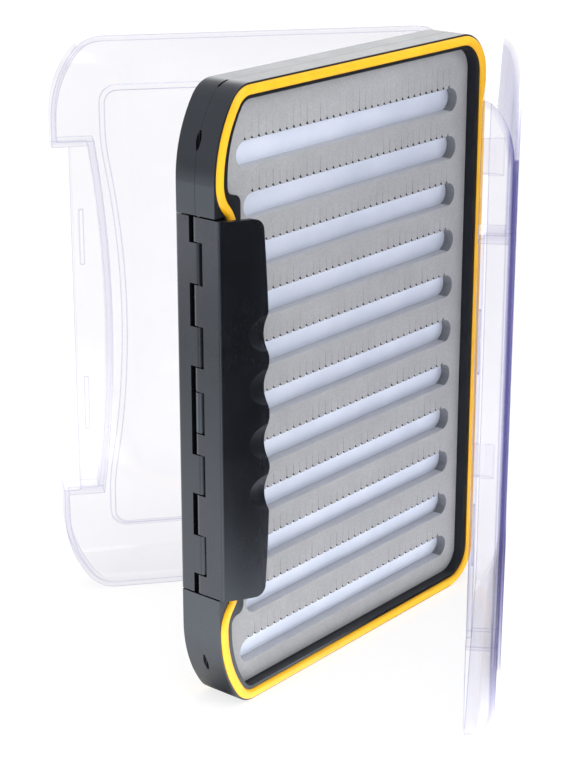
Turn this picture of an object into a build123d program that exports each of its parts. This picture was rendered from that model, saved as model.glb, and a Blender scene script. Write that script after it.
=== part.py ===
from build123d import *
from math import atan2, cos, radians, sin
import os

# Fly box: a flat double-sided case standing on its short end. A two-part centre frame
# carries slotted foam on both faces; a clear lid is hinged to each face along the right
# side, and a snap latch for each lid swings on one pin along the left side.
# X runs from the latch side (-X) to the hinge side (+X), the front face looks to -Y,
# Z is up. The origin lies at the frame's foot, halfway between its two faces and 51.5 mm
# from the latch side.

# ---------------------------------------------------------------- driving dimensions, mm
width = 104.0            # frame, latch side to hinge side
left = -51.5             # the frame's latch side
right = left + width     # and its hinge side
height = 150.0           # frame, foot to top
thick = 11.6             # frame, front rim to rear rim
half = thick / 2

corner_a = 12.0          # latch-side corner, across
corner_b = 21.4          # latch-side corner, upward
corner_small = 7.5       # latch-side corner, the tight arc at its end
corner_hinge = 10.2      # hinge-side corner radius

seal_inset = 1.6         # cord seal centreline from the outer edge
seal_inset_latch = 6.05  # the same behind the latch
seal_bend = 8.46         # radius of the seal's bends into the latch zone
seal_bend_drop = 11.5    # length of each bend along Z
seal_w = 2.35            # cord width
seal_groove = 1.3        # groove depth
seal_proud = 0.72        # cord above the rim

rim_w = 4.3              # rim width at the sides, outer edge to inner wall
rim_w_end = 3.6          # rim width along the top and the foot
rim_w_latch = 8.6        # and behind the latch
tray_bend = 2.15         # radius of the inner wall's bends into the latch zone
tray = 2.6               # foam face below the rim
foam_t = 2.7             # foam thickness
sheet_t = 0.15           # backing sheet behind the foam
floor_t = 0.35           # centre wall of each frame shell
foam_gap = 0.15          # foam to inner wall

slot_rows = 11
slot_pitch = 12.167
slot_first = 11.77       # lowest slot's height
slot_h = 6.0
slot_right = 43.6        # slots' right end
slot_left_end = -41.3    # left end of the top and bottom slot
slot_left = -38.9        # left end of the others

latch_z0, latch_z1 = 30.3, 121.1
plate_end_w = 9.1        # the gripping plate's edge, from the frame's edge, at its ends
plate_mid_w = 10.8       # and at its middle
recess_gap = 0.4         # latch end to recess end
recess_d = 3.2           # latch recess depth in the frame's side
pin_in = 1.45            # latch pin centre from the frame's side
knuckle_r = 1.45
pin_r = 0.6
leaf_t = 2.0             # latch leaf along the frame's side
leaf_base = 1.95         # leaf starts this far from the pin plane
knuckle_gap = 0.15
pin_seat = 3.5           # latch pin held in the frame at each end
# edges between neighbouring latch knuckles, from the top down
knuckle_z = [121.1, 115.3, 105.65, 95.8, 86.2, 80.25, 70.3, 65.0, 55.2, 45.0, 35.1, 30.3]

lid_gap = 0.8            # closed lid rim above the frame rim
lid_d = 7.1              # lid depth
lid_t = 1.4              # lid wall
lid_inset = 0.25         # lid edge inside the frame's edge
lid_out = 0.1            # the lid's free edge past the frame's side, before the inset
lid_corner_a = 13.5      # lid corners on the free side, across
lid_corner_small = 9.5   # and their tight arc
lid_round_z = 11.75      # the lid's rounded top and foot, along Z
field_rise = 0.8         # raised middle field of the lid
notch_z0, notch_z1 = 29.2, 121.9
notch_end_w = 9.5        # latch notch, depth from the edge at its ends
notch_mid_w = 12.9       # and at its middle
flange_edge_w = 4.3      # the flange in the notch starts this far in
flange_t = 1.1           # and is this thick
catch_w = 7.0            # catch grooves, from the edge
catch_z = [(91.0, 105.5), (46.0, 60.5)]

lanyard_z = 136.0        # lanyard slot in the side, its lower end
lanyard_h = 4.4

hinge_x = right + 0.4       # lid hinge axes
hinge_y = 2.85
hinge_r = 1.2
hinge_pin_r = 0.55
hinge_z = [33.0, 117.0]     # the middle of each hinge
lug_in, lug_out = 5.0, 11.0 # frame lugs, from the hinge's middle

front_open = 32.6       # lids' opening angles as they stand
rear_open = 39.45

# --------------------------------------------------------------- outlines in the XZ plane
def corner_arcs(edge, a, small):
    """The big and the tight arc of a latch-side corner: (centre, radius) of each, and the angle at which they meet."""
    big = (a**2 + corner_b**2 - 2 * corner_b * small) / (2 * (a - small))
    cb, cs = (edge + big, height - corner_b), (edge + a, height - small)
    return cb, big, cs, small, atan2(cs[1] - cb[1], cs[0] - cb[0])


frame_corner = corner_arcs(left, corner_a, corner_small)
lid_corner = corner_arcs(left - lid_out, lid_corner_a, lid_corner_small)
hinge_c = (right - corner_hinge, height - corner_hinge)


def on(c, r, a):
    return (c[0] + r * cos(a), c[1] + r * sin(a))


def low(p):
    return (p[0], height - p[1])


def corners(k, arcs=frame_corner, dz=0):
    """Edges from the latch side's upper end over the top, down the hinge side and along the foot, k mm inside the frame's edge.
    The top is raised and the foot lowered by dz."""
    pi = radians(180)
    big_c, big_r, small_c, small_r, turn = arcs
    big_c, small_c = (big_c[0], big_c[1] + dz), (small_c[0], small_c[1] + dz)
    hinge_cz = (hinge_c[0], hinge_c[1] + dz)
    a0, a1 = on(big_c, big_r - k, pi), on(big_c, big_r - k, turn)
    am = on(big_c, big_r - k, (pi + turn) / 2)
    b1 = on(small_c, small_r - k, pi / 2)
    bm = on(small_c, small_r - k, (turn + pi / 2) / 2)
    c0, c1 = on(hinge_cz, corner_hinge - k, pi / 2), on(hinge_cz, corner_hinge - k, 0)
    cm = on(hinge_cz, corner_hinge - k, pi / 4)
    ThreePointArc(a0, am, a1)
    ThreePointArc(a1, bm, b1)
    Line(b1, c0)
    ThreePointArc(c0, cm, c1)
    Line(c1, low(c1))
    ThreePointArc(low(c1), low(cm), low(c0))
    Line(low(c0), low(b1))
    ThreePointArc(low(b1), low(bm), low(a1))
    ThreePointArc(low(a1), low(am), low(a0))
    return a0, low(a0)


def edge_outline(k, arcs=frame_corner):
    """The frame's or the lid's outline, k mm inside its edge."""
    with BuildSketch() as outline:
        with BuildLine():
            start, end = corners(k, arcs)
            Line(end, start)
        make_face()
    return outline.sketch


def seal_outline(k):
    """The cord seal's centreline moved k mm inwards: it bends in behind the latch."""
    pi = radians(180)
    with BuildSketch() as outline:
        with BuildLine():
            (x0, z0), _ = corners(seal_inset + k)
            ca = (left + seal_inset + seal_bend, z0)
            cb = (left + seal_inset_latch - seal_bend, z0 - seal_bend_drop)
            a = atan2(cb[1] - ca[1], cb[0] - ca[0])
            mid = on(ca, seal_bend - k, a)
            p1 = on(ca, seal_bend - k, (a - pi) / 2)
            p2 = on(cb, seal_bend + k, (a + pi) / 2)
            end = on(cb, seal_bend + k, 0)
            ThreePointArc((x0, z0), p1, mid)
            ThreePointArc(mid, p2, end)
            Line(end, low(end))
            ThreePointArc(low(end), low(p2), low(mid))
            ThreePointArc(low(mid), low(p1), low((x0, z0)))
        make_face()
    return outline.sketch


def tray_outline(k):
    """The inner wall around the foam, k mm inside it: it steps in behind the latch with tight bends."""
    pi = radians(180)
    with BuildSketch() as outline:
        with BuildLine():
            (x0, z0), _ = corners(rim_w + k, dz=rim_w - rim_w_end)
            drop = rim_w_latch - rim_w
            z1 = 127.9
            ca = (left + rim_w + tray_bend, z1)
            cb = (left + rim_w_latch - tray_bend, z1 - drop)
            mid = on(ca, tray_bend - k, -pi / 2)
            p1 = on(ca, tray_bend - k, -3 * pi / 4)
            p2 = on(cb, tray_bend + k, pi / 4)
            end = on(cb, tray_bend + k, 0)
            Line((x0, z0), (x0, z1))
            ThreePointArc((x0, z1), p1, mid)
            ThreePointArc(mid, p2, end)
            Line(end, low(end))
            ThreePointArc(low(end), low(p2), low(mid))
            ThreePointArc(low(mid), low(p1), low((x0, z1)))
            Line(low((x0, z1)), low((x0, z0)))
        make_face()
    return outline.sketch


def front(y):
    """A plane parallel to the front face at Y = -y, looking forwards; X stays X and its Y is the object's Z."""
    return Plane(origin=(0, -y, 0), x_dir=(1, 0, 0), z_dir=(0, -1, 0))


def plan(z):
    return Plane.XY.offset(z)


def lanyard_passage(s):
    """A narrow passage that enters the side near the top (s = 1) or foot (-1), follows the corner and leaves through the top or foot."""
    big_c, big_r, small_c, small_r, turn = frame_corner
    r_a, r_b = big_r - 1.5, big_r - 3.0
    s_a, s_b = small_r - 1.5, small_r - 3.0
    pi = radians(180)
    t_a = pi - (lanyard_z + lanyard_h - big_c[1]) / r_a
    t_b = pi - (lanyard_z - big_c[1]) / r_b
    u_a, u_b = radians(122), radians(104)
    pts = [
        [(left - 1, lanyard_z), (left - 1, lanyard_z + lanyard_h)],
        [(left - 1, lanyard_z + lanyard_h), on(big_c, r_a, t_a)],
        [on(big_c, r_a, t_a), on(big_c, r_a, (t_a + turn) / 2), on(big_c, r_a, turn)],
        [on(small_c, s_a, turn), on(small_c, s_a, (turn + u_a) / 2), on(small_c, s_a, u_a)],
        [on(small_c, s_a, u_a), on(small_c, small_r + 1, u_a)],
        [on(small_c, small_r + 1, u_a), (small_c[0] - 0.4, height + 1)],
        [(small_c[0] - 0.4, height + 1), on(small_c, s_b, u_b)],
        [on(small_c, s_b, u_b), on(small_c, s_b, (u_b + turn) / 2), on(small_c, s_b, turn)],
        [on(big_c, r_b, turn), on(big_c, r_b, (t_b + turn) / 2), on(big_c, r_b, t_b)],
        [on(big_c, r_b, t_b), (left - 1, lanyard_z)],
    ]
    with BuildSketch() as outline:
        with BuildLine():
            for p in pts:
                p = p if s > 0 else [low(q) for q in p]
                if len(p) == 2:
                    Line(*p)
                else:
                    ThreePointArc(*p)
        make_face()
    return outline.sketch


# ------------------------------------------------------------------------- frame shells
pin_x = left + pin_in
cord_in, cord_out = seal_w / 2, -seal_w / 2
rec_z0, rec_z1 = latch_z0 - recess_gap, latch_z1 + recess_gap

with BuildPart() as front_frame_shell:
    with BuildSketch(front(0)):
        add(edge_outline(0))
    extrude(amount=half)
    chamfer(front_frame_shell.faces().sort_by(Axis.Y)[-1].edges(), 0.05)
    fillet(front_frame_shell.faces().sort_by(Axis.Y)[0].edges(), 0.25)
    # recess for the foam
    with BuildSketch(front(floor_t)):
        add(tray_outline(0))
    extrude(amount=half, mode=Mode.SUBTRACT)
    # groove for the cord seal
    with BuildSketch(front(half - seal_groove)):
        add(seal_outline(cord_out - 0.02))
        add(seal_outline(cord_in + 0.02), mode=Mode.SUBTRACT)
    extrude(amount=half, mode=Mode.SUBTRACT)
    # the latches lie in a recess of the frame's side
    with BuildSketch(plan(rec_z0)):
        with Locations((left + recess_d / 2 - 2, 0)):
            Rectangle(recess_d + 4, thick + 4)
    extrude(amount=rec_z1 - rec_z0, mode=Mode.SUBTRACT)
    # middle knuckle for the latch pin
    with BuildSketch(plan(knuckle_z[6] + knuckle_gap)):
        with Locations((pin_x, 0)):
            Circle(knuckle_r)
        with Locations(((pin_x + left + recess_d + 0.3) / 2, 0)):
            Rectangle(left + recess_d + 0.3 - pin_x, 2 * knuckle_r)
    extrude(amount=knuckle_z[5] - knuckle_z[6] - 2 * knuckle_gap)
    # seat of the latch pin, through the knuckle and into both ends of the recess
    with BuildSketch(plan(rec_z0 - pin_seat)):
        with Locations((pin_x, 0)):
            Circle(pin_r + 0.02)
    extrude(amount=rec_z1 - rec_z0 + 2 * pin_seat, mode=Mode.SUBTRACT)
    # hinge lugs for the front lid
    for zc in hinge_z:
        for z in (zc - lug_out, zc + lug_in):
            with BuildSketch(plan(z)):
                with Locations((hinge_x, -hinge_y)):
                    Circle(hinge_r)
                with Locations(((right - 0.6 + hinge_x) / 2, -hinge_y)):
                    Rectangle(hinge_x - right + 0.6, 2 * hinge_r)
            extrude(amount=lug_out - lug_in)
        with BuildSketch(plan(zc - lug_out)):
            with Locations((hinge_x, -hinge_y)):
                Circle(hinge_pin_r + 0.02)
        extrude(amount=2 * lug_out, mode=Mode.SUBTRACT)
    # shallow reliefs in the side for the lid's knuckles
    for zc in hinge_z:
        with BuildSketch(plan(zc - lug_in)):
            with Locations((right + 0.35, -3.5)):
                Rectangle(2.7, 7)
        extrude(amount=2 * lug_in, mode=Mode.SUBTRACT)
    # lanyard slots: a flat passage around a bar at each latch-side corner
    for s in (1, -1):
        with BuildSketch(front(-0.3)):
            add(lanyard_passage(s))
        extrude(amount=0.6, mode=Mode.SUBTRACT)
        # its mouth in the side is a pointed oval
        zm = lanyard_z + lanyard_h / 2 if s > 0 else height - lanyard_z - lanyard_h / 2
        with BuildSketch(Plane(origin=(left - 1, 0, zm), x_dir=(0, 1, 0), z_dir=(1, 0, 0))):
            with BuildLine():
                tip = lanyard_h / 2 + 0.3
                ThreePointArc((0, -tip), (0.72, 0), (0, tip))
                ThreePointArc((0, tip), (-0.72, 0), (0, -tip))
            make_face()
        extrude(amount=3.2, mode=Mode.SUBTRACT)
    split(bisect_by=front(0), keep=Keep.TOP)

with BuildPart() as rear_frame_shell:
    mirror(front_frame_shell.part, about=Plane.XZ)

# ----------------------------------------------------------------------------- cord seals
with BuildPart() as front_seal:
    with BuildSketch(front(half - seal_groove)):
        add(seal_outline(cord_out))
        add(seal_outline(cord_in), mode=Mode.SUBTRACT)
    extrude(amount=seal_groove + seal_proud)
    fillet(front_seal.faces().sort_by(Axis.Y)[0].edges(), 0.85)

with BuildPart() as rear_seal:
    mirror(front_seal.part, about=Plane.XZ)

# ------------------------------------------------------------------- foam and its backing
foam_back = floor_t + sheet_t
with BuildPart() as front_foam_backing:
    with BuildSketch(front(floor_t)):
        add(tray_outline(foam_gap))
    extrude(amount=sheet_t)

with BuildPart() as rear_foam_backing:
    mirror(front_foam_backing.part, about=Plane.XZ)

with BuildPart() as front_foam:
    with BuildSketch(front(foam_back)):
        add(tray_outline(foam_gap))
        for i in range(slot_rows):
            x0 = slot_left_end if i in (0, slot_rows - 1) else slot_left
            with Locations(((x0 + slot_right) / 2, slot_first + slot_pitch * i)):
                SlotOverall(slot_right - x0, slot_h, mode=Mode.SUBTRACT)
    extrude(amount=foam_t)

with BuildPart() as rear_foam:
    mirror(front_foam.part, about=Plane.XZ)

# -------------------------------------------------------------------------------- latches
# The latch is an L in plan: a leaf flush with the frame's side, and a gripping plate that
# flares forwards over the lid's flange. It is drawn closed.
grip_z = [94.3, 81.6, 68.4, 56.1]   # finger hollows


def w(v):
    return left + v


def plate_outline():
    """The latch seen from the front: its free edge bows out in the middle, as the lid's notch does."""
    zm = (latch_z0 + latch_z1) / 2
    with BuildSketch() as outline:
        with BuildLine():
            p = [(left - 2, latch_z0), (w(plate_end_w), latch_z0), (w(plate_end_w), latch_z1), (left - 2, latch_z1)]
            Line(p[3], p[0])
            Line(p[0], p[1])
            ThreePointArc(p[1], (w(plate_mid_w), zm), p[2])
            Line(p[2], p[3])
        make_face()
        fillet(outline.vertices().group_by(Axis.X)[-1], 2.6)
    return outline.sketch


def latch(knuckles, outer, inner, rib):
    """A front latch with the knuckles between the given pairs of edges in knuckle_z. Outer: the points (across, forwards) from
    the side of the leaf around its corner to the plate's free edge; inner: the way back to the leaf; rib: the roots of a catch rib."""
    outer, inner = [(w(a), -b) for a, b in outer], [(w(a), -b) for a, b in inner]
    with BuildPart() as body:
        with BuildSketch(plan(latch_z0)):
            with BuildLine():
                Line((w(0), -leaf_base), outer[0])
                ThreePointArc(*outer[:3])
                ThreePointArc(*outer[2:])
                ThreePointArc(outer[-1], (w(10.9), -11.55), inner[0])
                ThreePointArc(*inner)
                Line(inner[-1], (w(leaf_t), -leaf_base))
                Line((w(leaf_t), -leaf_base), (w(0), -leaf_base))
            make_face()
        extrude(amount=latch_z1 - latch_z0)
        # rounded corners of the gripping plate
        with BuildSketch(front(0)):
            add(plate_outline())
        extrude(amount=20, mode=Mode.INTERSECT)
        for a, b in knuckles:
            top = knuckle_z[a] - (0 if a == 0 else knuckle_gap)
            bottom = knuckle_z[b] + (0 if b == 11 else knuckle_gap)
            with BuildSketch(plan(bottom)):
                with Locations((pin_x, 0)):
                    Circle(knuckle_r)
                with Locations((w(leaf_t / 2), -(leaf_base + 0.3) / 2)):
                    Rectangle(leaf_t, leaf_base + 0.3)
            extrude(amount=top - bottom)
        with BuildSketch(plan(latch_z0)):
            with Locations((pin_x, 0)):
                Circle(pin_r + 0.05)
        extrude(amount=latch_z1 - latch_z0, mode=Mode.SUBTRACT)
        # catch ribs that hold the lid's flange
        for z0, z1 in catch_z:
            with BuildSketch(plan(z0 + 0.5)):
                with BuildLine():
                    Polyline(
                        (w(catch_w - 0.6), -rib[0]),
                        (w(catch_w - 0.25), -7.55),
                        (w(catch_w + 0.25), -7.55),
                        (w(catch_w + 1.0), -rib[1]),
                        close=True,
                    )
                make_face()
            extrude(amount=z1 - z0 - 1.0)
        # finger hollows: a bite out of the free edge and a shallow hollow in the face
        dip, hollow_r = atan2(-1.9, 5.5) + radians(8), 14.0
        for z in grip_z:
            with BuildSketch(Plane(origin=(w(9.6) + 17.0, -16, z), x_dir=(1, 0, 0), z_dir=(0, 1, 0))):
                Circle(17.0)
            extrude(amount=8, mode=Mode.SUBTRACT)
            edge = (w(10.7), -11.7)
            c = (edge[0] + hollow_r * sin(dip), edge[1] - hollow_r * cos(dip))
            with BuildSketch(
                Plane(origin=(c[0] - 9 * cos(dip), c[1] - 9 * sin(dip), z), z_dir=(cos(dip), sin(dip), 0))
            ):
                Circle(hollow_r)
            extrude(amount=14, mode=Mode.SUBTRACT)
    return body.part


with BuildPart() as front_latch:
    add(latch(
        [(0, 1), (2, 3), (4, 5), (6, 7), (8, 9), (10, 11)],
        [(0, 6.5), (0.14, 7.0), (0.55, 7.43), (5.0, 10.45), (10.5, 12.35)],
        [(10.3, 11.05), (5.6, 9.25), (leaf_t, 7.1)],
        (10.4, 11.0),
    ))

with BuildPart() as rear_latch:
    mirror(latch(
        [(1, 2), (3, 4), (7, 8), (9, 10)],
        [(0, 5.25), (0.08, 5.65), (0.32, 5.95), (5.0, 9.4), (10.5, 12.35)],
        [(10.3, 11.05), (5.6, 8.45), (leaf_t, 5.7)],
        (9.7, 10.4),
    ), about=Plane.XZ)

with BuildPart() as latch_hinge_pin:
    with BuildSketch(plan(rec_z0 - pin_seat)):
        with Locations((pin_x, 0)):
            Circle(pin_r)
    extrude(amount=rec_z1 - rec_z0 + 2 * pin_seat)

# ----------------------------------------------------------------------------------- lids
# Drawn closed on the front face, then turned about the hinge axis to the angle at which it
# stands open.
lid_y0 = half + lid_gap


def lid_profile(inset, depth):
    """The lid's section in the YZ plane: flat outside, with rounded top and foot."""
    y0, y1 = -lid_y0, -lid_y0 - depth
    rz = lid_round_z - inset
    z_lo, z_hi = lid_inset + inset, height - lid_inset - inset
    with BuildSketch() as section:
        with BuildLine():
            Line((y0 + 1, z_lo), (y0, z_lo))
            EllipticalCenterArc((y0, z_lo + rz), depth, rz, start_angle=180, arc_size=90)
            Line((y1, z_lo + rz), (y1, z_hi - rz))
            EllipticalCenterArc((y0, z_hi - rz), depth, rz, start_angle=90, arc_size=90)
            Line((y0, z_hi), (y0 + 1, z_hi))
            Line((y0 + 1, z_hi), (y0 + 1, z_lo))
        make_face()
    return section.sketch


def field_outline(k):
    """The raised middle field of the lid, k mm inside its edge."""
    z_hi, z_lo = 136.0 - k, 15.2 + k
    xl, xm, xr = w(13.1 + k), w(17.5 + k), right - 14.9 - k
    r = 4.5 - k
    with BuildSketch() as outline:
        with BuildLine():
            Line((xl + r, z_hi), (xr - r, z_hi))
            RadiusArc((xr - r, z_hi), (xr, z_hi - r), r)
            Line((xr, z_hi - r), (xr, z_lo + r))
            RadiusArc((xr, z_lo + r), (xr - r, z_lo), r)
            Line((xr - r, z_lo), (xl + r, z_lo))
            RadiusArc((xl + r, z_lo), (xl, z_lo + r), r)
            Line((xl, z_lo + r), (xl, 25.0))
            Spline(
                (xl, 25.0),
                (xl + 1.5, 38.0),
                (xm, 75.0),
                (xl + 1.5, 112.0),
                (xl, 125.0),
                tangents=[(0, 1), (0, 1)],
            )
            Line((xl, 125.0), (xl, z_hi - r))
            RadiusArc((xl, z_hi - r), (xl + r, z_hi), r)
        make_face()
    return outline.sketch


def notch_outline(k):
    """The notch for the latch, grown by k mm."""
    a, b = (w(notch_end_w + k), notch_z0 - k), (w(notch_end_w + k), notch_z1 + k)
    m = (w(notch_mid_w + k), (notch_z0 + notch_z1) / 2)
    with BuildSketch() as outline:
        with BuildLine():
            ThreePointArc(a, m, b)
            Line(b, (left - 5, b[1]))
            Line((left - 5, b[1]), (left - 5, a[1]))
            Line((left - 5, a[1]), a)
        make_face()
    return outline.sketch


with BuildPart() as front_lid:
    with BuildSketch(front(lid_y0)):
        add(edge_outline(lid_inset, lid_corner))
    extrude(amount=lid_d)
    with BuildSketch(Plane(origin=(left - 5, 0, 0), x_dir=(0, 1, 0), z_dir=(1, 0, 0))):
        add(lid_profile(0, lid_d))
    extrude(amount=width + 10, mode=Mode.INTERSECT)
    # raised field
    with BuildSketch(front(lid_y0 + lid_d - 1)):
        add(field_outline(0))
    extrude(amount=1 + field_rise)
    # hollow inside
    with BuildPart(mode=Mode.PRIVATE) as cavity:
        with BuildSketch(front(lid_y0)):
            add(edge_outline(lid_inset + lid_t, lid_corner))
        extrude(amount=lid_d - lid_t)
        with BuildSketch(Plane(origin=(left - 5, 0, 0), x_dir=(0, 1, 0), z_dir=(1, 0, 0))):
            add(lid_profile(lid_t, lid_d - lid_t))
        extrude(amount=width + 10, mode=Mode.INTERSECT)
        with BuildSketch(front(lid_y0 + lid_d - lid_t - 1)):
            add(field_outline(1.2))
        extrude(amount=1 + field_rise)
        with BuildSketch(front(lid_y0 - 1)):
            add(notch_outline(lid_t))
        extrude(amount=20, mode=Mode.SUBTRACT)
    add(cavity.part, mode=Mode.SUBTRACT)
    # notch for the latch, down to the flange
    with BuildSketch(front(lid_y0 + flange_t)):
        add(notch_outline(0))
    extrude(amount=10, mode=Mode.SUBTRACT)
    with BuildSketch(front(lid_y0 - 1)):
        with Locations((left - 5 + (flange_edge_w + 5) / 2, (notch_z0 + notch_z1) / 2)):
            Rectangle(flange_edge_w + 5, notch_z1 - notch_z0)
    extrude(amount=10, mode=Mode.SUBTRACT)
    with BuildSketch(plan(notch_z0)):
        with BuildLine():
            y1 = -lid_y0 - flange_t
            Polyline(
                (w(flange_edge_w - 0.5), y1 + 0.6),
                (w(flange_edge_w), y1 + 0.6),
                (w(flange_edge_w + 0.6), y1),
                (w(flange_edge_w + 0.6), y1 - 0.5),
                (w(flange_edge_w - 0.5), y1 - 0.5),
                close=True,
            )
        make_face()
    extrude(amount=notch_z1 - notch_z0, mode=Mode.SUBTRACT)
    # grooves for the latch's catch ribs
    for z0, z1 in catch_z:
        with BuildSketch(front(lid_y0 + flange_t - 0.5)):
            with Locations((w(catch_w), (z0 + z1) / 2)):
                Rectangle(1.0, z1 - z0)
        extrude(amount=2, mode=Mode.SUBTRACT)
    # hinge knuckles
    for zc in hinge_z:
        with BuildSketch(plan(zc - lug_in + 0.2)):
            with Locations((hinge_x, -hinge_y)):
                Circle(hinge_r)
            with BuildLine():
                Polyline(
                    (right + 0.3, -hinge_y),
                    (right + 0.3, -lid_y0 + 0.1),
                    (right - 0.9, -lid_y0 - 0.1),
                    (right - 0.9, -lid_y0 - 4.0),
                    (right + 0.2, -lid_y0 - 3.7),
                    (right + 1.2, -lid_y0 - 1.6),
                    (hinge_x + hinge_r, -hinge_y),
                    close=True,
                )
            make_face()
        extrude(amount=2 * lug_in - 0.4)
        with BuildSketch(plan(zc - lug_in)):
            with Locations((hinge_x, -hinge_y)):
                Circle(hinge_pin_r + 0.05)
        extrude(amount=2 * lug_in, mode=Mode.SUBTRACT)

closed_lid = front_lid.part
front_lid.part = closed_lid.rotate(Axis((hinge_x, -hinge_y, 0), (0, 0, 1)), front_open)

with BuildPart() as rear_lid:
    mirror(closed_lid, about=Plane.XZ)
rear_lid.part = rear_lid.part.rotate(Axis((hinge_x, hinge_y, 0), (0, 0, 1)), -rear_open)

# ------------------------------------------------------------------------- lid hinge pins
with BuildPart() as front_lid_lower_hinge_pin:
    with BuildSketch(plan(hinge_z[0] - lug_out)):
        with Locations((hinge_x, -hinge_y)):
            Circle(hinge_pin_r)
    extrude(amount=2 * lug_out)

with BuildPart() as front_lid_upper_hinge_pin:
    with BuildSketch(plan(hinge_z[1] - lug_out)):
        with Locations((hinge_x, -hinge_y)):
            Circle(hinge_pin_r)
    extrude(amount=2 * lug_out)

with BuildPart() as rear_lid_lower_hinge_pin:
    with BuildSketch(plan(hinge_z[0] - lug_out)):
        with Locations((hinge_x, hinge_y)):
            Circle(hinge_pin_r)
    extrude(amount=2 * lug_out)

with BuildPart() as rear_lid_upper_hinge_pin:
    with BuildSketch(plan(hinge_z[1] - lug_out)):
        with Locations((hinge_x, hinge_y)):
            Circle(hinge_pin_r)
    extrude(amount=2 * lug_out)

# --------------------------------------------------------------------------------- export
os.makedirs("parts", exist_ok=True)
front_frame_shell.part.label = "front_frame_shell"
rear_frame_shell.part.label = "rear_frame_shell"
front_seal.part.label = "front_seal"
rear_seal.part.label = "rear_seal"
front_foam.part.label = "front_foam"
rear_foam.part.label = "rear_foam"
front_foam_backing.part.label = "front_foam_backing"
rear_foam_backing.part.label = "rear_foam_backing"
front_lid.part.label = "front_lid"
rear_lid.part.label = "rear_lid"
front_latch.part.label = "front_latch"
rear_latch.part.label = "rear_latch"
latch_hinge_pin.part.label = "latch_hinge_pin"
front_lid_lower_hinge_pin.part.label = "front_lid_lower_hinge_pin"
front_lid_upper_hinge_pin.part.label = "front_lid_upper_hinge_pin"
rear_lid_lower_hinge_pin.part.label = "rear_lid_lower_hinge_pin"
rear_lid_upper_hinge_pin.part.label = "rear_lid_upper_hinge_pin"
export_step(front_frame_shell.part, "parts/front_frame_shell.step")
export_step(rear_frame_shell.part, "parts/rear_frame_shell.step")
export_step(front_seal.part, "parts/front_seal.step")
export_step(rear_seal.part, "parts/rear_seal.step")
export_step(front_foam.part, "parts/front_foam.step")
export_step(rear_foam.part, "parts/rear_foam.step")
export_step(front_foam_backing.part, "parts/front_foam_backing.step")
export_step(rear_foam_backing.part, "parts/rear_foam_backing.step")
export_step(front_lid.part, "parts/front_lid.step")
export_step(rear_lid.part, "parts/rear_lid.step")
export_step(front_latch.part, "parts/front_latch.step")
export_step(rear_latch.part, "parts/rear_latch.step")
export_step(latch_hinge_pin.part, "parts/latch_hinge_pin.step")
export_step(front_lid_lower_hinge_pin.part, "parts/front_lid_lower_hinge_pin.step")
export_step(front_lid_upper_hinge_pin.part, "parts/front_lid_upper_hinge_pin.step")
export_step(rear_lid_lower_hinge_pin.part, "parts/rear_lid_lower_hinge_pin.step")
export_step(rear_lid_upper_hinge_pin.part, "parts/rear_lid_upper_hinge_pin.step")
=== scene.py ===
import math
import random

import bmesh
import bpy
from mathutils import Matrix, Vector


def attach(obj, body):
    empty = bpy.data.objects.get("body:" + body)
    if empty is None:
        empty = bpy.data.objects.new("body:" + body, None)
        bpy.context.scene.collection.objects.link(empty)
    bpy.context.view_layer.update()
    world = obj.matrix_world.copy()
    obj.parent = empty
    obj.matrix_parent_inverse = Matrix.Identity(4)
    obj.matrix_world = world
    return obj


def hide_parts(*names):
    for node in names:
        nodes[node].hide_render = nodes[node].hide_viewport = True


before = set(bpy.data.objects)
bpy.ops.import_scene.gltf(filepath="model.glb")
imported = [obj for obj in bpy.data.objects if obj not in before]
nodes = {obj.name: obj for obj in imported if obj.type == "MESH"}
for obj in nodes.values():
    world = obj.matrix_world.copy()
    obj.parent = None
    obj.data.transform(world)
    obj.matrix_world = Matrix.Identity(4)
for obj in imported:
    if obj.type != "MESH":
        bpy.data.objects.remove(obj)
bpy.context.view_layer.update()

mm = 0.001


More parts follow.
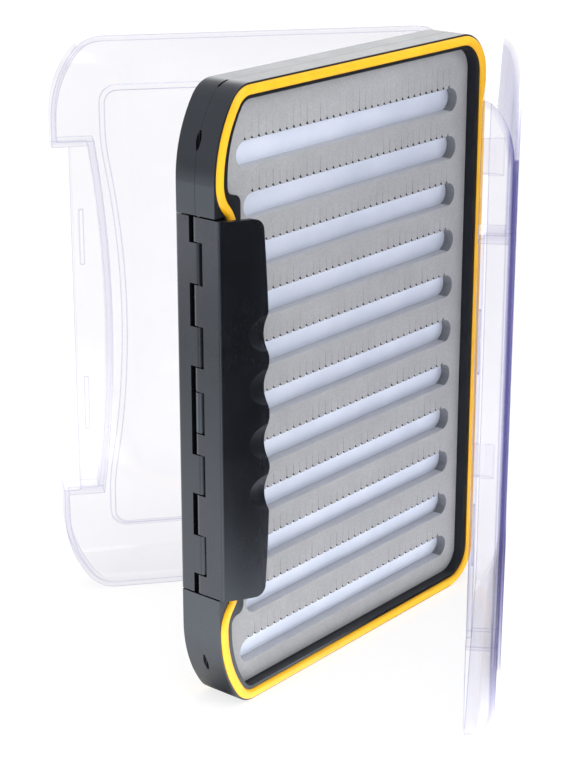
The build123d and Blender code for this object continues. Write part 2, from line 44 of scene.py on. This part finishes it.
# ----------------------------------------------------------------------- material helpers
class Mat:
    """A node material with one Principled shader and a few shorthand calls."""

    def __init__(self, name):
        self.m = bpy.data.materials.new(name)
        self.m.use_nodes = True
        self.t = self.m.node_tree
        self.t.nodes.clear()
        self.out = self.t.nodes.new("ShaderNodeOutputMaterial")
        self.p = self.t.nodes.new("ShaderNodeBsdfPrincipled")
        self.t.links.new(self.p.outputs[0], self.out.inputs["Surface"])
        self.geo = self.t.nodes.new("ShaderNodeNewGeometry")
        self.coord = self.t.nodes.new("ShaderNodeTexCoord").outputs["Object"]

    def link(self, a, b):
        self.t.links.new(a, b)

    def value(self, socket, v):
        self.p.inputs[socket].default_value = v

    def node(self, kind, **kw):
        n = self.t.nodes.new(kind)
        for k, v in kw.items():
            setattr(n, k, v)
        return n

    def noise(self, scale, detail=4.0, rough=0.55, stretch=None):
        """Noise at a scale in features per metre, optionally stretched."""
        n = self.node("ShaderNodeTexNoise")
        n.inputs["Scale"].default_value = scale
        n.inputs["Detail"].default_value = detail
        n.inputs["Roughness"].default_value = rough
        src = self.coord
        if stretch:
            mp = self.node("ShaderNodeMapping")
            mp.inputs["Scale"].default_value = stretch
            self.link(self.coord, mp.inputs["Vector"])
            src = mp.outputs[0]
        self.link(src, n.inputs["Vector"])
        return n.outputs["Fac"]

    def ramp(self, fac, stops):
        r = self.node("ShaderNodeValToRGB")
        e = r.color_ramp.elements
        while len(e) < len(stops):
            e.new(0.5)
        for s, (pos, col) in zip(e, stops):
            s.position = pos
            s.color = (*col, 1.0) if len(col) == 3 else col
        self.link(fac, r.inputs["Fac"])
        return r.outputs["Color"]

    def grey(self, fac, lo, hi, a=0.3, b=0.7):
        return self.ramp(fac, [(a, (lo, lo, lo)), (b, (hi, hi, hi))])

    def mix(self, fac, a, b, blend="MIX"):
        n = self.node("ShaderNodeMix", data_type="RGBA", blend_type=blend)
        for s, v in ((n.inputs["Factor"], fac), (n.inputs["A"], a), (n.inputs["B"], b)):
            if isinstance(v, (int, float)):
                s.default_value = v
            elif isinstance(v, tuple):
                s.default_value = (*v, 1.0)
            else:
                self.link(v, s)
        return n.outputs["Result"]

    def math(self, op, a, b=0.5, clamp=False):
        n = self.node("ShaderNodeMath", operation=op, use_clamp=clamp)
        for s, v in zip(n.inputs, (a, b)):
            if isinstance(v, (int, float)):
                s.default_value = v
            else:
                self.link(v, s)
        return n.outputs[0]

    def bump(self, height, strength, dist):
        n = self.node("ShaderNodeBump")
        n.inputs["Strength"].default_value = strength
        n.inputs["Distance"].default_value = dist
        self.link(height, n.inputs["Height"])
        self.link(n.outputs[0], self.p.inputs["Normal"])

    def edge(self, radius):
        """0 on flat ground, up to 1 on convex edges."""
        bev = self.node("ShaderNodeBevel", samples=4)
        bev.inputs["Radius"].default_value = radius
        d = self.node("ShaderNodeVectorMath", operation="DOT_PRODUCT")
        self.link(bev.outputs[0], d.inputs[0])
        self.link(self.geo.outputs["Normal"], d.inputs[1])
        return self.math("MULTIPLY", self.math("SUBTRACT", 1.0, d.outputs["Value"]), 3.0, clamp=True)


def lin(r, g, b):
    """sRGB 0..255 to linear."""
    f = lambda v: v / 12.92 if v <= 0.04045 else ((v + 0.055) / 1.055) ** 2.4
    return tuple(f(v / 255) for v in (r, g, b))


def give(obj, mat):
    obj.data.materials.clear()
    obj.data.materials.append(mat)


def plastic(name, base, light, rough, painted_edge_highlight, level, tint):
    """Fine-grained moulded plastic with faint mottling, convex edges lightened by a painted highlight, and scuffs."""
    k = Mat(name)
    mottle = k.noise(160, 5, 0.6)
    col = k.ramp(mottle, [(0.3, base), (0.75, light)])
    # convex edges are mixed toward a lighter colour: a painted highlight
    e = k.edge(0.00035)
    col = k.mix(k.math("MULTIPLY", e, 0.35), col, painted_edge_highlight)
    k.link(col, k.p.inputs["Base Color"])
    scuff = k.noise(900, 3, 0.7, (1, 1, 0.12))
    r = k.math("ADD", k.math("MULTIPLY", k.noise(70, 4, 0.6), 0.12), rough - 0.06)
    r = k.math("ADD", r, k.math("MULTIPLY", scuff, 0.05))
    k.link(r, k.p.inputs["Roughness"])
    k.value("IOR", 1.5)
    k.value("Specular IOR Level", level)
    k.value("Specular Tint", (*tint, 1.0))
    k.bump(k.noise(5200, 3, 0.6), 0.10, 0.00004)
    return k


frame_mat = plastic("frame_plastic", lin(19, 21, 25), lin(25, 27, 32), 0.30, lin(52, 55, 62), 0.66, (0.76, 0.86, 1.0))
latch_mat = plastic("latch_plastic", lin(13, 15, 19), lin(19, 21, 26), 0.24, lin(46, 49, 56), 0.52, (0.78, 0.87, 1.0))

# cord seal: yellow rubber with a soft sheen and a painted highlight on its convex edges
k = Mat("seal_rubber")
n1 = k.noise(240, 4, 0.6)
c = k.ramp(n1, [(0.3, lin(235, 172, 6)), (0.7, lin(240, 183, 12))])
# convex edges mixed toward a lighter yellow: a painted highlight
c = k.mix(k.math("MULTIPLY", k.edge(0.0004), 0.4), c, lin(246, 204, 44))
k.link(c, k.p.inputs["Base Color"])
k.link(k.grey(k.noise(500, 3), 0.30, 0.44), k.p.inputs["Roughness"])
k.bump(k.noise(3000, 3), 0.12, 0.00005)
seal_mat = k.m

# foam: closed cells
k = Mat("foam_grey")
n1 = k.noise(130, 4, 0.6)
n2 = k.noise(2300, 3, 0.7)
c = k.ramp(n1, [(0.3, lin(142, 143, 146)), (0.7, lin(153, 154, 157))])
c = k.mix(0.35, c, k.ramp(n2, [(0.3, lin(126, 127, 130)), (0.7, lin(167, 168, 171))]))
k.link(c, k.p.inputs["Base Color"])
k.link(k.grey(n2, 0.78, 0.95), k.p.inputs["Roughness"])
vor = k.node("ShaderNodeTexVoronoi")
vor.inputs["Scale"].default_value = 3200
k.link(k.coord, vor.inputs["Vector"])
k.bump(vor.outputs["Distance"], 0.25, 0.00008)
foam_mat = k.m

# the cut walls of its slots, smoother, and a little lighter than the face: painted light, as of the light from above
# on the slots' lower lips
k = Mat("foam_cut_painted_light")
n2 = k.noise(2600, 3, 0.7)
c = k.ramp(n2, [(0.3, lin(172, 174, 180)), (0.7, lin(188, 190, 196))])
k.link(c, k.p.inputs["Base Color"])
k.link(k.grey(n2, 0.78, 0.95), k.p.inputs["Roughness"])
k.bump(n2, 0.3, 0.00008)
cut_wall_lit_mat = k.m

# the inside of a slit or notch, and the back layer's face seen through them: dark grey, a painted shade for their
# depth
k = Mat("foam_slit_painted_shade")
n2 = k.noise(2600, 3, 0.7)
c = k.ramp(n2, [(0.3, lin(52, 53, 57)), (0.7, lin(66, 67, 72))])
k.link(c, k.p.inputs["Base Color"])
k.link(k.grey(n2, 0.85, 0.97), k.p.inputs["Roughness"])
slit_shade_mat = k.m

# the slots' far end walls: darker than the foam, a painted shade
k = Mat("foam_shade")
n2 = k.noise(2600, 3, 0.7)
c = k.ramp(n2, [(0.3, lin(108, 110, 115)), (0.7, lin(124, 126, 132))])
k.link(c, k.p.inputs["Base Color"])
k.link(k.grey(n2, 0.85, 0.97), k.p.inputs["Roughness"])
foam_shade_mat = k.m

# backing sheet seen in the slots
k = Mat("backing_sheet")
n1 = k.noise(60, 4, 0.6)
c = k.ramp(n1, [(0.3, lin(198, 206, 222)), (0.7, lin(211, 218, 232))])
k.link(c, k.p.inputs["Base Color"])
k.link(k.grey(k.noise(300, 3), 0.45, 0.6), k.p.inputs["Roughness"])
k.bump(k.noise(1500, 3), 0.08, 0.00004)
sheet_mat = k.m

# lids: clear plastic that looks violet along long paths through its walls, its convex edges painted a darker violet
k = Mat("clear_plastic")
k.value("Transmission Weight", 0.95)
k.value("IOR", 1.0)
k.value("Coat Weight", 0.6)
k.value("Coat Roughness", 0.03)
k.value("Coat IOR", 1.45)
c = k.ramp(k.noise(40, 3), [(0.3, (0.935, 0.932, 0.948)), (0.7, (0.96, 0.957, 0.97))])
# convex edges mixed toward dark violet: a painted shade for the long light paths at the edges
c = k.mix(k.math("MULTIPLY", k.edge(0.0006), 1.0, clamp=True), c, (0.30, 0.29, 0.52))
k.link(c, k.p.inputs["Base Color"])
smudge = k.noise(90, 5, 0.7)
k.link(k.grey(smudge, 0.0, 0.03, 0.45, 0.8), k.p.inputs["Roughness"])
va = k.node("ShaderNodeVolumeAbsorption")
va.inputs["Color"].default_value = (0.07, 0.03, 0.52, 1.0)
va.inputs["Density"].default_value = 26.0
k.link(va.outputs[0], k.out.inputs["Volume"])
lid_mat = k.m

# steel pins
k = Mat("pin_steel")
k.value("Metallic", 1.0)
st = k.noise(1500, 3, 0.6, (1, 1, 0.06))
k.link(k.ramp(st, [(0.3, (0.48, 0.48, 0.49)), (0.7, (0.62, 0.62, 0.63))]), k.p.inputs["Base Color"])
k.link(k.grey(st, 0.25, 0.42), k.p.inputs["Roughness"])
k.bump(st, 0.1, 0.00003)
pin_mat = k.m

for n, o in nodes.items():
    if "frame_shell" in n:
        give(o, frame_mat.m)
    elif "seal" in n:
        give(o, seal_mat)
    elif "backing" in n:
        give(o, sheet_mat)
    elif n.endswith("lid"):
        give(o, lid_mat)
    elif n.endswith("latch"):
        give(o, latch_mat.m)
    elif "pin" in n:
        give(o, pin_mat)
    elif "foam" in n:
        give(o, foam_mat)

# ------------------------------------------------------------------ foam with slits
# The same outline as the CAD foam: slots with a notched upper edge, a fine slit running
# up from each notch.
slot_rows, slot_pitch, slot_first, slot_h = 11, 12.167, 11.77, 6.0
slot_right, slot_left_end, slot_left = 43.6, -41.3, -38.9
foam_front, foam_mid, foam_back = 3.2, 2.4, 0.5     # notches and slits reach from the face to foam_mid


def foam_edges(face):
    """The CAD foam's outer outline as an ordered list of (x, z) in mm, read from the node's own mesh."""
    o = nodes[face + "_foam"]
    me = o.data
    ymin = min(abs(v.co.y) for v in me.vertices)
    on = {v.index for v in me.vertices if abs(abs(v.co.y) - ymin) < 1e-6}
    count = {}
    for p in me.polygons:
        if all(i in on for i in p.vertices):
            for a, b in p.edge_keys:
                count[(a, b)] = count.get((a, b), 0) + 1
    rim = [e for e, n in count.items() if n == 1]
    # join by position, because the mesh may be split along sharp edges
    key = lambda i: (round(me.vertices[i].co.x * 1e5), round(me.vertices[i].co.z * 1e5))
    nxt = {}
    for a, b in rim:
        nxt.setdefault(key(a), []).append(key(b))
        nxt.setdefault(key(b), []).append(key(a))
    loops, seen = [], set()
    for s in nxt:
        if s in seen:
            continue
        loop, cur, prev = [], s, None
        while cur is not None and cur not in seen:
            seen.add(cur)
            loop.append(cur)
            step = [q for q in nxt[cur] if q != prev and q not in seen]
            prev, cur = cur, (step[0] if step else None)
        loops.append(loop)
    best = max(loops, key=lambda L: (max(p[0] for p in L) - min(p[0] for p in L)) * (max(p[1] for p in L) - min(p[1] for p in L)))
    return [(x / 100, z / 100) for x, z in best]


def slot_loop(i, rnd=None):
    """A slot's outline, anticlockwise from the lower right; with rnd, its upper edge has notches and slits."""
    x0 = slot_left_end if i in (0, slot_rows - 1) else slot_left
    x1, zc, r = slot_right, slot_first + slot_pitch * i, slot_h / 2
    pts = []
    for a in range(0, 25):
        t = math.radians(-90 + a * 7.5)
        pts.append((x1 - r + r * math.cos(t), zc + r * math.sin(t)))
    if rnd:
        step = 2.45
        top = zc + r
        land = slot_pitch - slot_h if i < slot_rows - 1 else 9.0
        x = x1 - r - 0.55
        while x > x0 + r * 0.75:
            xx = x + rnd.uniform(-0.05, 0.05)
            w = rnd.uniform(0.46, 0.56)
            h = rnd.uniform(0.68, 0.86)
            s = rnd.choice((0.010, 0.012, 0.015, 0.02, 0.025, 0.035))
            length = land * rnd.uniform(0.55, 0.80)
            lean = rnd.uniform(-0.05, 0.05)
            pts += [
                (xx + w, top),
                (xx + w * 0.74, top + h * 0.45),
                (xx + w * 0.34, top + h * 0.86),
                (xx + s, top + h),
                (xx + lean + s * 0.8, top + length * 0.7),
                (xx + lean, top + length),
                (xx + lean - s * 0.8, top + length * 0.7),
                (xx - s, top + h),
                (xx - w * 0.34, top + h * 0.86),
                (xx - w * 0.74, top + h * 0.45),
                (xx - w, top),
            ]
            x -= step
    for a in range(0, 25):
        t = math.radians(90 + a * 7.5)
        pts.append((x0 + r + r * math.cos(t), zc + r * math.sin(t)))
    return pts


def foam_layer(face, y0, y1, rnd, mats):
    """The foam between the depths y0 and y1, as a mesh; mats are those of its faces to the front and of its walls."""
    sy = -1 if face == "front" else 1
    cu = bpy.data.curves.new("layer", "CURVE")
    cu.dimensions = "2D"
    cu.fill_mode = "BOTH"
    cu.extrude = (y1 - y0) / 2 * mm
    for loop in [foam_edges(face)] + [slot_loop(i, rnd) for i in range(slot_rows)]:
        sp = cu.splines.new("POLY")
        sp.points.add(len(loop) - 1)
        for p, (x, z) in zip(sp.points, loop):
            p.co = (x * mm, z * mm, 0, 1)
        sp.use_cyclic_u = True
    tmp = bpy.data.objects.new("tmp", cu)
    bpy.context.scene.collection.objects.link(tmp)
    bpy.context.view_layer.update()
    me = bpy.data.meshes.new_from_object(tmp)
    bpy.data.objects.remove(tmp)
    mid = (y0 + y1) / 2 * mm
    # the curve's plane (x, y) becomes the object's (x, z)
    me.transform(Matrix(((1, 0, 0, 0), (0, 0, sy * 1.0, sy * mid), (0, 1, 0, 0), (0, 0, 0, 1))))
    bm = bmesh.new()
    bm.from_mesh(me)
    bmesh.ops.remove_doubles(bm, verts=bm.verts, dist=1e-7)
    bmesh.ops.recalc_face_normals(bm, faces=bm.faces)
    for f in bm.faces:
        f.smooth = False
        f.material_index = mats[0] if abs(f.normal.y) > 0.7 else mats[1]
    bm.to_mesh(me)
    bm.free()
    return me


def foam_piece(face, seed):
    rnd = random.Random(seed)
    # the back layer's front face takes the dark slit colour: painted shade, seen only through the notches and slits
    back = foam_layer(face, foam_back, foam_mid, None, (2, 1))
    top = foam_layer(face, foam_mid + 0.002, foam_front, rnd, (0, 3))
    for p in top.polygons:
        # the straight cut walls of the slots take the lighter cut-wall colour, a painted light; those of notches and
        # slits keep the dark slit colour, a painted shade
        if p.material_index == 3:
            cx = sum((top.vertices[i].co.x for i in p.vertices)) / len(p.vertices)
            if p.normal.z > 0.5 or abs(cx) > 0.0405 or abs(p.normal.x) < 0.05:
                p.material_index = 1
    # the slots' right end walls, which face left, take the darker end-wall colour: painted shade
    for part in (back, top):
        for p in part.polygons:
            cx = sum((part.vertices[i].co.x for i in p.vertices)) / len(p.vertices)
            if p.normal.x < -0.3 and 0.0395 < cx < 0.0440:
                p.material_index = 4
    bm = bmesh.new()
    bm.from_mesh(back)
    bm.from_mesh(top)
    me = bpy.data.meshes.new(face + "_slit_foam")
    bm.to_mesh(me)
    bm.free()
    for m in (foam_mat, cut_wall_lit_mat, slit_shade_mat, slit_shade_mat, foam_shade_mat):
        me.materials.append(m)
    o = bpy.data.objects.new(face + "_slit_foam", me)
    bpy.context.scene.collection.objects.link(o)
    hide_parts(face + "_foam")
    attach(o, "frame")
    return o


foam_piece("front", 3)
foam_piece("rear", 8)

# ---------------------------------------------------------------------------- the stage
floor_me = bpy.data.meshes.new("floor")
R = 6.0
floor_me.from_pydata([(-R, -R, 0), (R, -R, 0), (R, R, 0), (-R, R, 0)], [], [(0, 1, 2, 3)])
floor = bpy.data.objects.new("floor", floor_me)
bpy.context.scene.collection.objects.link(floor)
# A pale light table: it glows where it is seen directly or through a lid. In the plastics' gloss its far front and
# front right are dark, with the far left partly so, a painted dark reflection, and the part behind the latch side and
# a strip beside the latch are brighter;
# for bounce light it glows as well, most near the front.
k = Mat("floor_pale")
pale = k.ramp(k.noise(6, 3), [(0.3, (0.90, 0.90, 0.90)), (0.7, (0.93, 0.93, 0.93))])
path = k.node("ShaderNodeLightPath")
pos = k.node("ShaderNodeSeparateXYZ")
k.link(k.geo.outputs["Position"], pos.inputs[0])
px, py = pos.outputs["X"], pos.outputs["Y"]


def step_up(v, a, b):
    n = k.node("ShaderNodeMapRange", interpolation_type="SMOOTHSTEP")
    n.inputs["From Min"].default_value = a
    n.inputs["From Max"].default_value = b
    k.link(v, n.inputs["Value"])
    return n.outputs["Result"]


across = k.math("ADD", k.math("MULTIPLY", k.math("ADD", px, 0.051), 0.616), k.math("MULTIPLY", py, 0.787))
front_right = k.math("MULTIPLY", step_up(across, -0.03, 0.01), step_up(py, 0.01, -0.002))
far_front = step_up(py, -0.05, -0.13)
gloss_dark_patch = k.math("MAXIMUM", front_right, far_front)
gloss_dark_patch = k.math("MAXIMUM", gloss_dark_patch, k.math("MULTIPLY", step_up(px, -0.20, -0.42), 0.6))
in_gloss = k.math("GREATER_THAN", path.outputs["Glossy Depth"], 0.5)
in_bounce = k.math("GREATER_THAN", path.outputs["Diffuse Depth"], 0.5)
direct = k.math("SUBTRACT", 1.0, k.math("MAXIMUM", in_gloss, in_bounce))
# in reflections only, the masked patches turn near black: a painted dark reflection
c = k.mix(k.math("MULTIPLY", in_gloss, gloss_dark_patch), pale, (0.012, 0.012, 0.014))
c = k.mix(direct, c, (0.30, 0.30, 0.30))
k.link(c, k.p.inputs["Base Color"])
left_back = k.math("MULTIPLY", step_up(py, -0.06, 0.0), k.math("MULTIPLY", step_up(px, -0.04, -0.08), step_up(px, -0.32, -0.10)))
near_front = k.math("MULTIPLY", step_up(py, -0.20, -0.03), step_up(py, 0.02, 0.0))
glow = k.math("MULTIPLY", direct, 0.74)
glow = k.math("ADD", glow, k.math("MULTIPLY", k.math("MULTIPLY", in_gloss, left_back), 1.4))
near_latch = k.math("MULTIPLY", k.math("MULTIPLY", step_up(py, -0.12, -0.05), step_up(py, 0.0, -0.01)), step_up(px, 0.02, -0.02))
glow = k.math("ADD", glow, k.math("MULTIPLY", k.math("MULTIPLY", in_gloss, near_latch), 2.0))
glow = k.math("ADD", glow, k.math("MULTIPLY", in_bounce, k.math("ADD", k.math("MULTIPLY", near_front, 1.6), 0.3)))
k.value("Roughness", 0.9)
k.value("Specular IOR Level", 0.0)
k.value("Emission Color", (1.0, 1.0, 1.0, 1.0))
k.link(glow, k.p.inputs["Emission Strength"])
give(floor, k.m)

world = bpy.data.worlds.new("studio")
bpy.context.scene.world = world
world.use_nodes = True
bg = world.node_tree.nodes["Background"]
bg.inputs["Color"].default_value = (1.0, 1.0, 1.0, 1.0)
bg.inputs["Strength"].default_value = 0.85


def area(name, loc, target, size, radiance, colour=(1, 1, 1), only_gloss=False):
    """A soft light; its strength is given as the brightness of its face."""
    light = bpy.data.lights.new(name, "AREA")
    light.shape = "RECTANGLE"
    light.size, light.size_y = size
    light.energy = radiance * math.pi * size[0] * size[1]
    light.color = colour
    o = bpy.data.objects.new(name, light)
    o.location = loc
    d = Vector(target) - Vector(loc)
    o.rotation_euler = d.to_track_quat("-Z", "Y").to_euler()
    o.visible_camera = False
    o.visible_transmission = False
    if only_gloss:
        o.visible_diffuse = False
        o.visible_volume_scatter = False
    bpy.context.scene.collection.objects.link(o)
    return o


# overhead bank, front key, and two reflectors that only show as gloss: one low behind the
# box for its top, a narrow one to the left for the upper end of its side
area("overhead", (-0.2, -0.5, 1.9), (0, 0, 0), (2.4, 2.0), 1.3)
area("key", (0.2, -0.9, 0.6), (0, 0, 0.07), (0.5, 0.5), 4.2)
area("gloss_back", (0.50, 0.42, 0.36), (0, 0, 0.15), (0.6, 0.34), 1.7, only_gloss=True)
area("gloss_left", (-0.256, 0.169, 0.052), (-0.05, 0, 0.12), (0.30, 0.035), 3.0, only_gloss=True)


def card(name, corners):
    """A dark card that only shows in reflections."""
    me = bpy.data.meshes.new(name)
    me.from_pydata(corners, [], [(0, 1, 2, 3)])
    o = bpy.data.objects.new(name, me)
    bpy.context.scene.collection.objects.link(o)
    k = Mat(name)
    k.link(k.ramp(k.noise(6, 3), [(0.3, (0.010, 0.010, 0.011)), (0.7, (0.014, 0.014, 0.015))]), k.p.inputs["Base Color"])
    k.value("Roughness", 1.0)
    k.value("Specular IOR Level", 0.0)
    give(o, k.m)
    o.visible_camera = o.visible_diffuse = o.visible_transmission = o.visible_shadow = False
    o.visible_volume_scatter = False
    return o


card("dark_front", [(-0.50, -0.26, 0.005), (0.45, -0.26, 0.005), (0.45, -0.26, 0.6), (-0.50, -0.26, 0.6)])

# ---------------------------------------------------------------------------- the camera
yaw, pitch = math.radians(50.54646), math.radians(18.25336)
fwd = Vector((math.sin(yaw) * math.cos(pitch), math.cos(yaw) * math.cos(pitch), -math.sin(pitch)))
right = Vector((math.cos(yaw), -math.sin(yaw), 0))
up = right.cross(fwd)
cam_data = bpy.data.cameras.new("camera")
cam = bpy.data.objects.new("camera", cam_data)
bpy.context.scene.collection.objects.link(cam)
loc = Vector((-370.7592, -289.1212, 232.4209)) * mm
cam.matrix_world = Matrix(
    (
        (right.x, up.x, -fwd.x, loc.x),
        (right.y, up.y, -fwd.y, loc.y),
        (right.z, up.z, -fwd.z, loc.z),
        (0, 0, 0, 1),
    )
)
cam_data.sensor_width = 36.0
cam_data.sensor_fit = "AUTO"
cam_data.lens = 2016.0533 * 36.0 / 768
cam_data.shift_x = -(287.743 - 286.0) / 768
cam_data.shift_y = (349.2451 - 384.0) / 768
cam_data.clip_start = 0.01
cam_data.clip_end = 50.0
bpy.context.scene.camera = cam

bpy.context.scene.view_settings.view_transform = "Standard"
